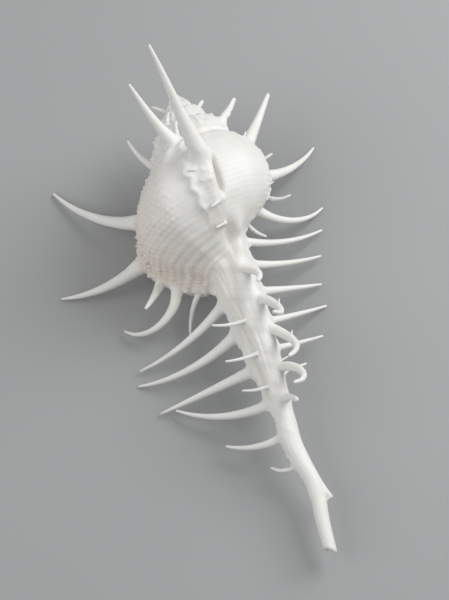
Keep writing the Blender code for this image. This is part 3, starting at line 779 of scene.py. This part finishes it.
# %% Spikelets
SPIKELET_WIDTH, SPIKELET_TIP = 0.5, 0.2
WALL_SPIKELETS = ((-53.0, 48.5, 1.6, -70, 42), (-90.0, 51.5, 1.9, -92, 4), (-80.0, 54.3, 1.5, -88, 20),
                  (-76.0, 22.6, 1.5, -88, 8), (-76.0, 31.5, 1.3, -84, 25), (-76.0, 13.0, 1.3, -80, 45),
                  (-70.0, 10.6, 1.0, -76, 40))
HOOK_SPIKELETS = ((13, 0.9, 1.2), (14, 0.52, 1.7), (15, 0.45, 1.7))
HOOK_SPIKELET_TURN, HOOK_SPIKELET_LEAN, SPIKELET_CURVE = -60, 58, 12


def make_spikelet(number, root, length, turn, lean):
    """One prickle, which leans a little further at its tip."""
    prickle = Spine("spikelet", 0.0, length, turn, turn, lean, lean + SPIKELET_CURVE, SPIKELET_WIDTH)
    return make_spine(number, prickle, root, SPIKELET_TIP)


def all_spikelets():
    """The prickles on the wall and on the hooks."""
    places = []
    for angle, station, length, turn, lean in WALL_SPIKELETS:
        radius = float(surface_radius(np.array(angle), np.array(station)))
        places.append((place_on_axis(angle, station, radius), length, turn, lean))
    for hook, share, length in HOOK_SPIKELETS:
        on_hook = spine_path(SPINES[hook - 1], roots[hook - 1], SPINE_RINGS)[0][round(share * SPINE_RINGS)]
        places.append((on_hook, length, HOOK_SPIKELET_TURN, HOOK_SPIKELET_LEAN))
    return [make_spikelet(len(SPINES) + k, *place) for k, place in enumerate(places, start=1)]


spines += all_spikelets()
print("spikelets:", len(spines) - len(SPINES))

# %% [markdown]
# ## The aperture
#
# Under the shell is the opening that the animal lived in. A horn that curls back into the last whorl is cut
# out of the wall, with a raised and slightly pleated rim round its mouth, thicker where it lies on the whorl
# before. A thin slit leads from its lower end round to the underside of the canal and on down to the tip. The
# horn and rim share one oval section that shrinks as it goes back.

# %% Aperture
HOLLOW_CENTRE = (26.2, 8.3)
HOLLOW_HALF_SIZE = (8.6, 4.3)
HOLLOW_TILT = -16.0
HOLLOW_FROM, HOLLOW_TO = 142.0, -60.0
HOLLOW_TAPER, HOLLOW_END_ROUNDING = 0.5, 3.0
RIM_ANGLE, RIM_SIZE, RIM_INSET, RIM_THICKNESS = 120.0, 1.04, 0.2, 0.55
RIM_PLEATS, RIM_PLEAT_HEIGHT, INNER_LIP_EXTRA = 34, 0.14, 0.8
SLIT_WIDTH, SLIT_START, SLIT_REACH = 0.4, 33.6, 6.0
SLIT_ANGLES = ((33.6, 126.0), (36.0, 136.0), (40.0, 151.0), (45.0, 162.0), (51.0, 165.0))


def hollow_section(growth, turn, size):
    """A point on the oval section of the last whorl's hollow: station and distance from the axis."""
    scale = GROWTH_PER_TURN ** ((growth - LIP_ANGLE) / 360.0)
    tilt = math.radians(HOLLOW_TILT)
    long_way = HOLLOW_HALF_SIZE[0] * size * np.cos(turn)
    short_way = HOLLOW_HALF_SIZE[1] * size * np.sin(turn)
    station = HOLLOW_CENTRE[0] + long_way * math.cos(tilt) - short_way * math.sin(tilt)
    radius = HOLLOW_CENTRE[1] + long_way * math.sin(tilt) + short_way * math.cos(tilt)
    return station * scale, radius * scale


def make_hollow(columns=64, rings=56):
    """The horn to cut out of the last whorl."""
    horn, column, ring = sphere_grid("aperture_hollow", columns, rings)
    down = ring / rings
    growth = HOLLOW_FROM + (HOLLOW_TO - HOLLOW_FROM) * down
    size = np.clip(np.sin(math.pi * down) * HOLLOW_END_ROUNDING, 0, 1) * (1 - HOLLOW_TAPER * down)
    station, radius = hollow_section(growth, 2 * math.pi * column / columns, size)
    set_points(horn, place_on_axis(growth, station, radius))
    return horn


def make_rim(around=136, across=12):
    """The raised edge round the aperture's mouth."""
    torus = {"major_segments": around, "minor_segments": across}
    rim = add_piece("aperture_rim", bpy.ops.mesh.primitive_torus_add, **torus)
    number = np.arange(around * across)
    along, over = 2 * math.pi * (number // across) / around, 2 * math.pi * (number % across) / across
    station, radius = hollow_section(RIM_ANGLE, along, RIM_SIZE)
    middle = place_on_axis(RIM_ANGLE, station, radius)
    out = middle - place_on_axis(RIM_ANGLE, *hollow_section(RIM_ANGLE, along, RIM_SIZE - RIM_INSET))
    out = out / np.linalg.norm(out, axis=1, keepdims=True)
    forward = direction(RIM_ANGLE + 90, 0)
    inner = np.clip(-np.sin(along), 0, 1)
    thick = 1 + RIM_PLEAT_HEIGHT * np.cos(RIM_PLEATS * along) + INNER_LIP_EXTRA * inner
    edge = RIM_THICKNESS * thick[:, None] * (np.cos(over)[:, None] * out + np.sin(over)[:, None] * forward)
    set_points(rim, middle + edge)
    return rim


def make_slit(steps=60):
    """The blade to cut the canal's slit with."""
    grid = {"x_subdivisions": 1, "y_subdivisions": steps, "size": 2.0}
    blade = add_piece("canal_slit", bpy.ops.mesh.primitive_grid_add, **grid)
    across, along, _ = vertex_points(blade).T
    station = SLIT_START + (SHELL_LENGTH + 2.0 - SLIT_START) * (1 - along) / 2
    turn = smooth_curve(station, SLIT_ANGLES)
    set_points(blade, place_on_axis(turn, station, SLIT_REACH * (1 + across) / 2))
    thicken = blade.modifiers.new("width of the slit", "SOLIDIFY")
    thicken.thickness, thicken.offset = SLIT_WIDTH * MM, 0.0
    make_active(blade)
    bpy.ops.object.modifier_apply(modifier=thicken.name)
    return blade


hollow, rim, slit = make_hollow(), make_rim(), make_slit()
print("aperture:", [round(2 * half_size, 1) for half_size in HOLLOW_HALF_SIZE], "mm")

# %% [markdown]
# ## Joining it all
#
# The Boolean modifier cuts the hollow and the slit first, and then joins the spines and the rim, so that the
# rim stays whole. The spines carry a second material slot through the join. That marks the seam round each
# root, where the faces of both slots meet, and lets the seam be smoothed into a soft fillet.

# %% Join
SEAM_GROWTH_STEPS = 2
SEAM_SMOOTHING_ROUNDS = 6


def home_for(name, pieces):
    """Moves pieces to a collection of their own, for the Boolean modifier to use as one."""
    home = bpy.data.collections.new(name)
    bpy.context.scene.collection.children.link(home)
    for piece in pieces:
        for old_home in list(piece.users_collection):
            old_home.objects.unlink(piece)
        home.objects.link(piece)
    return home


def join_or_cut(piece, operation, home):
    """Joins or cuts all of a collection's meshes, and then removes them."""
    change = piece.modifiers.new(f"{operation.lower()} {home.name}", "BOOLEAN")
    change.operation, change.solver = operation, "MANIFOLD"
    change.operand_type, change.collection = "COLLECTION", home
    make_active(piece)
    bpy.ops.object.modifier_apply(modifier=change.name)
    for tool in list(home.objects):
        bpy.data.objects.remove(tool)
    bpy.data.collections.remove(home)


slots = [bpy.data.materials.new(name) for name in ("wall for now", "spine for now")]
for piece in (shell, hollow, slit, rim, *spines):
    for slot in slots:
        piece.data.materials.append(slot)
for spine in spines:
    spine.data.polygons.foreach_set("material_index", np.ones(len(spine.data.polygons), dtype=np.int32))
join_or_cut(shell, "DIFFERENCE", home_for("aperture and slit", [hollow, slit]))
join_or_cut(shell, "UNION", home_for("spines", [*spines, rim]))
print("joined:", len(shell.data.polygons), "faces,", len(shell.data.materials), "slots")


# %% Seams
def smooth_seams(piece):
    """Rounds the corner where a spine meets the wall."""
    shape = bmesh.new()
    shape.from_mesh(piece.data)
    near = {vert for vert in shape.verts if len({face.material_index for face in vert.link_faces}) > 1}
    seam = len(near)
    for _ in range(SEAM_GROWTH_STEPS):
        near |= {edge.other_vert(vert) for vert in near for edge in vert.link_edges}
    every_way = {f"use_axis_{axis}": True for axis in "xyz"}
    for _ in range(SEAM_SMOOTHING_ROUNDS):
        bmesh.ops.smooth_vert(shape, verts=list(near), factor=0.5, **every_way)
    open_edges = sum(not edge.is_manifold for edge in shape.edges)
    triangles = sum(len(face.verts) - 2 for face in shape.faces)
    for face in shape.faces:
        face.material_index = 0
        face.smooth = True
    shape.to_mesh(piece.data)
    shape.free()
    print("seam vertices:", seam, "edges that aren't closed:", open_edges, "triangles:", triangles)


smooth_seams(shell)
shell.data.materials.clear()
print("shell:", len(shell.data.vertices), "vertices")

# %% [markdown]
# ## Laying it down
#
# The shell rests with its aperture down, dipped so that the canal comes to the table. Its mesh is turned and
# moved instead of its object, because a finished piece's object stays at the origin.

# %% Lay down
at_rest = Matrix.Translation(Vector(APEX_PLACE) * MM) @ Matrix.Rotation(math.radians(REST_DIP), 4, "X")
about_axis = vertex_points(shell) / MM
shell.data.transform(at_rest)
shell.data.update()
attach(shell, "root")
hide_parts("murex_shell")
print("lowest point:", round(min(vert.co.z for vert in shell.data.vertices) / MM, 3), "mm")

# %% [markdown]
# ## The shell's finish
#
# Old shell is bleached white, faintly rosy on the youngest part of the body, and dull. Its hollows get a
# straw-grey painted shade: the gutter behind the top varix, the fold on the canal and the hollows between the
# lumps at the base, and the wall is painted darker towards the base. Thin grey lines follow the grooves
# between the cords, partly as grey lines in the shell and partly as painted shade in the grooves, and still
# finer growth lines cross them. Both follow the shell's growth and not the room, so each vertex keeps its
# growth and its place on the outline as attributes. A sine of the place draws the grey lines, and a noise
# that is squeezed one way on growth and place draws the growth lines. Three more attributes say where the
# painted shade of the hollows and the rosy flush are, and where the wall is whorl and not canal or spine.

# %% Attributes
# Shares of the straw-grey painted shade: in the gutter, on the canal's fold, in the hollows between the base
# lumps, and a darkening towards the base.
GUTTER_PAINTED_SHADE, FOLD_PAINTED_SHADE, LUMP_HOLLOW_PAINTED_SHADE, BASE_DARKENING = 0.3, 0.3, 0.4, 0.1
BASE_PLACES, FLUSH_GROWTH = (25.0, 29.0), (15.0, 95.0)
ABOVE_WALL, BELOW_WALL = (0.6, 1.4), (-2.4, -1.6)
GROWTH_SHARE = 10


def keep_attribute(name, values):
    """Stores one number per vertex on the shell."""
    layer = shell.data.attributes.new(name, "FLOAT", "POINT")
    layer.data.foreach_set("value", values.astype(np.float32))


across, along, up = about_axis.T
station = np.clip(-along, 0, SHELL_LENGTH)
across = across - smooth_curve(station, CANAL_SWAY)
angle_here = np.degrees(np.arctan2(-across, up))
growth_here, place_here, _, canal_here = growth_and_place(angle_here, station)
height_here = np.hypot(across, up) - surface_radius(angle_here, station)
on_wall = (1 - ease(height_here, *ABOVE_WALL)) * ease(height_here, *BELOW_WALL)
whorl_here = on_wall * (1 - canal_here)
# Painted shade along the gutter behind the top varix, where its crest would shade it.
tint = whorl_here * GUTTER_PAINTED_SHADE * in_gutter(growth_here, place_here)
# The whorl's colour is made darker and straw-grey towards its base.
tint += whorl_here * BASE_DARKENING * ease(place_here, *BASE_PLACES)
# Painted shade in the long fold on the canal.
tint += on_wall * canal_here * FOLD_PAINTED_SHADE * in_fold(angle_here, station)
# Painted shade in the hollows between the lumps where the top varix meets the hooks' backbone.
tint += on_wall * LUMP_HOLLOW_PAINTED_SHADE * np.clip(-base_lumps(angle_here, station), 0, 1)
keep_attribute("growth", growth_here / GROWTH_SHARE)
keep_attribute("place", cord_place(place_here, about_axis))
# The hollow attribute carries the painted shade of the hollows and the darkening towards the base.
keep_attribute("hollow", tint)
keep_attribute("flush", whorl_here * ease(growth_here, *FLUSH_GROWTH))
keep_attribute("whorl", whorl_here)
print("mean tint of the hollows:", round(float(tint.mean()), 3))

# %% Material
SHELL_WHITE = (0.83, 0.825, 0.80, 1.0)
MOTTLE_GREY = (0.74, 0.72, 0.67, 1.0)
FLUSH_ROSE = (0.82, 0.74, 0.67, 1.0)
LINE_GREY_AND_GROOVE_SHADE = (0.60, 0.595, 0.565, 1.0)
# The colour of the painted shade in the hollows.
STRAW_HOLLOW_SHADE = (0.62, 0.585, 0.48, 1.0)
MOTTLE_SCALE, PATCH_SCALE, GRAIN_SCALE = 260.0, 130.0, 2600.0
LINES_SQUEEZE, LINE_RELIEF, GRAIN_RELIEF = (7.0, 0.6, 1.0), 0.00012, 0.00006
SHELL_GLOSS = {"Roughness": 0.5, "Specular IOR Level": 0.35, "Subsurface Weight": 0.12,
               "Subsurface Radius": (1.0, 0.8, 0.6), "Subsurface Scale": 0.0012}


def set_inputs(tree, node, inputs):
    """Links each named input of a node to a socket, or sets its value."""
    for key, value in inputs.items():
        if isinstance(value, bpy.types.NodeSocket):
            tree.links.new(value, node.inputs[key])
        else:
            node.inputs[key].default_value = value


def add_node(tree, kind, output, inputs=None, **settings):
    """The output of a new node, with its settings and inputs in place."""
    node = tree.nodes.new(kind)
    for key, value in settings.items():
        setattr(node, key, value)
    set_inputs(tree, node, inputs or {})
    return node.outputs[output]


def new_finish(name, inputs):
    """A material and its shader, with the shader's values set."""
    finish = bpy.data.materials.new(name)
    finish.use_nodes = True
    shader = finish.node_tree.nodes["Principled BSDF"]
    set_inputs(finish.node_tree, shader, inputs)
    return finish, shader


def add_noise(tree, vector, scale, detail):
    """A noise texture over a vector."""
    return add_node(tree, "ShaderNodeTexNoise", "Fac", {"Vector": vector, "Scale": scale, "Detail": detail})


def add_range(tree, value, low, high, most):
    """Rises from 0 where the value is low to the most where it is high."""
    limits = {"From Min": low, "From Max": high, "To Max": most}
    return add_node(tree, "ShaderNodeMapRange", "Result", {"Value": value, **limits})


def add_math(tree, operation, first, second):
    """A sum, product or sine of a value and a second value or number."""
    return add_node(tree, "ShaderNodeMath", "Value", {0: first, 1: second}, operation=operation)


def add_tint(tree, colour, share, tint):
    """The colour, mixed with a tint by a share."""
    inputs = {"A": colour, "B": tint, "Factor": share}
    return add_node(tree, "ShaderNodeMix", "Result", inputs, data_type="RGBA")


def add_bump(tree, height, strength, distance, **below):
    """Bumps of a height, on top of other bumps."""
    inputs = {"Height": height, "Strength": strength, "Distance": distance, **below}
    return add_node(tree, "ShaderNodeBump", "Normal", inputs)


# %% Shell finish
def make_shell_finish():
    """Bleached shell: white, rosy near the lip, with a straw-grey painted shade in its hollows and thin grey
    lines, partly painted shade, in the cord grooves.
    """
    finish, shader = new_finish("bleached_shell", SHELL_GLOSS)
    tree = finish.node_tree
    spot = add_node(tree, "ShaderNodeTexCoord", "Object")
    growth, outline_place, hollow_shade_share, flush, whorl = (
        add_node(tree, "ShaderNodeAttribute", "Fac", attribute_name=name)
        for name in ("growth", "place", "hollow", "flush", "whorl"))

    mottle = add_range(tree, add_noise(tree, spot, MOTTLE_SCALE, 5.0), 0.45, 0.75, 0.45)
    turns = add_math(tree, "MULTIPLY", outline_place, 4 * math.pi / CORD_PITCH)
    wave = add_math(tree, "SINE", add_math(tree, "ADD", turns, -0.5 * math.pi), 0.0)
    # Grey lines in the cord grooves: partly grey lines in the shell, partly painted shade in the grooves.
    in_groove = add_math(tree, "MULTIPLY", add_range(tree, wave, 0.35, 1.0, 0.25), whorl)
    patchy = add_range(tree, add_noise(tree, spot, PATCH_SCALE, 3.0), 0.35, 0.65, 1.0)
    line_and_groove_shade = add_math(tree, "MULTIPLY", in_groove, patchy)
    # Mottle and rosy flush are the shell's own colour; the grey lines are partly painted shade in the
    # grooves, and the straw colour is painted shade in the hollows.
    tints = (mottle, MOTTLE_GREY), (flush, FLUSH_ROSE), (line_and_groove_shade, LINE_GREY_AND_GROOVE_SHADE), (hollow_shade_share, STRAW_HOLLOW_SHADE)
    colour = SHELL_WHITE
    for share, tint_colour in tints:
        colour = add_tint(tree, colour, share, tint_colour)

    lines_at = add_node(tree, "ShaderNodeCombineXYZ", "Vector", {"X": growth, "Y": outline_place})
    squeezed = add_node(tree, "ShaderNodeMapping", "Vector", {"Vector": lines_at, "Scale": LINES_SQUEEZE})
    growth_lines = add_math(tree, "MULTIPLY", add_noise(tree, squeezed, 1.0, 3.0), whorl)
    bumps = add_bump(tree, growth_lines, 0.5, LINE_RELIEF)
    bumps = add_bump(tree, add_noise(tree, spot, GRAIN_SCALE, 4.0), 0.35, GRAIN_RELIEF, Normal=bumps)
    set_inputs(tree, shader, {"Base Color": colour, "Normal": bumps})
    return finish


shell.data.materials.append(make_shell_finish())
print("finish:", shell.data.materials[0].name)

# %% [markdown]
# ## Floor, light and camera
#
# The floor is plain and pale, and darker than the shell. The light is soft: a panel on the right, a larger
# one higher and farther off on the left, and a pale sky. The camera looks down on the shell from the side of
# the canal, rolled so that the canal runs to the lower right, as in the photograph.

# %% Floor
FLOOR_SIZE = 3.0
FLOOR_GLOSS = {"Base Color": (0.38, 0.385, 0.39, 1.0), "Roughness": 0.9, "Specular IOR Level": 0.2}
floor = add_piece("floor", bpy.ops.mesh.primitive_plane_add, size=FLOOR_SIZE, location=(0, 0, 0))
floor.data.materials.append(new_finish("pale_floor", FLOOR_GLOSS)[0])
print("floor", FLOOR_SIZE, "m wide")


# %% Light
LIGHT_AIM = (0, 0, 0.015)
PANELS = (("key panel", (0.25, 0.05, 0.20), 0.20, 0.78), ("fill panel", (-0.33, 0.02, 0.32), 0.40, 0.72))
SKY = {"Color": (1.0, 1.0, 1.0, 1.0), "Strength": 0.38}


def add_panel(name, place, size, power):
    """A square light panel that faces the shell."""
    panel = bpy.data.lights.new(name, "AREA")
    panel.energy, panel.size = power, size
    holder = bpy.data.objects.new(name, panel)
    bpy.context.scene.collection.objects.link(holder)
    holder.location = place
    holder.rotation_euler = (Vector(LIGHT_AIM) - Vector(place)).to_track_quat("-Z", "Y").to_euler()


for panel in PANELS:
    add_panel(*panel)
world = bpy.data.worlds.new("pale room")
world.use_nodes = True
set_inputs(world.node_tree, world.node_tree.nodes["Background"], SKY)
bpy.context.scene.world = world
bpy.context.scene.view_settings.view_transform = "Standard"
print("lights:", [light.name for light in bpy.data.lights])

# %% Camera
CAMERA_TARGET, CAMERA_DISTANCE = (-3.125, -38.38, 0.0), 500.0
CAMERA_TILT, CAMERA_ROLL = 20.0, 18.8
VIEW_LENGTH, SENSOR = 99.0, 36.0

tilt, roll = math.radians(CAMERA_TILT), math.radians(CAMERA_ROLL)
towards_camera = Vector((0.0, -math.sin(tilt), math.cos(tilt)))
across_view = Vector((1.0, 0.0, 0.0))
down_canal = Vector((0.0, -math.cos(tilt), -math.sin(tilt)))
camera_right = math.cos(roll) * across_view + math.sin(roll) * down_canal
camera_up = math.sin(roll) * across_view - math.cos(roll) * down_canal
camera_axes = Matrix((camera_right, camera_up, towards_camera)).transposed().to_4x4()
camera_place = (Vector(CAMERA_TARGET) + CAMERA_DISTANCE * towards_camera) * MM
lens = bpy.data.cameras.new("camera")
lens.sensor_fit = "VERTICAL"
lens.sensor_height = SENSOR
lens.lens = SENSOR * CAMERA_DISTANCE / VIEW_LENGTH
camera = bpy.data.objects.new("camera", lens)
bpy.context.scene.collection.objects.link(camera)
camera.matrix_world = at_rest @ Matrix.Translation(camera_place) @ camera_axes
bpy.context.scene.camera = camera
print("camera at", [round(value, 3) for value in camera.matrix_world.translation])
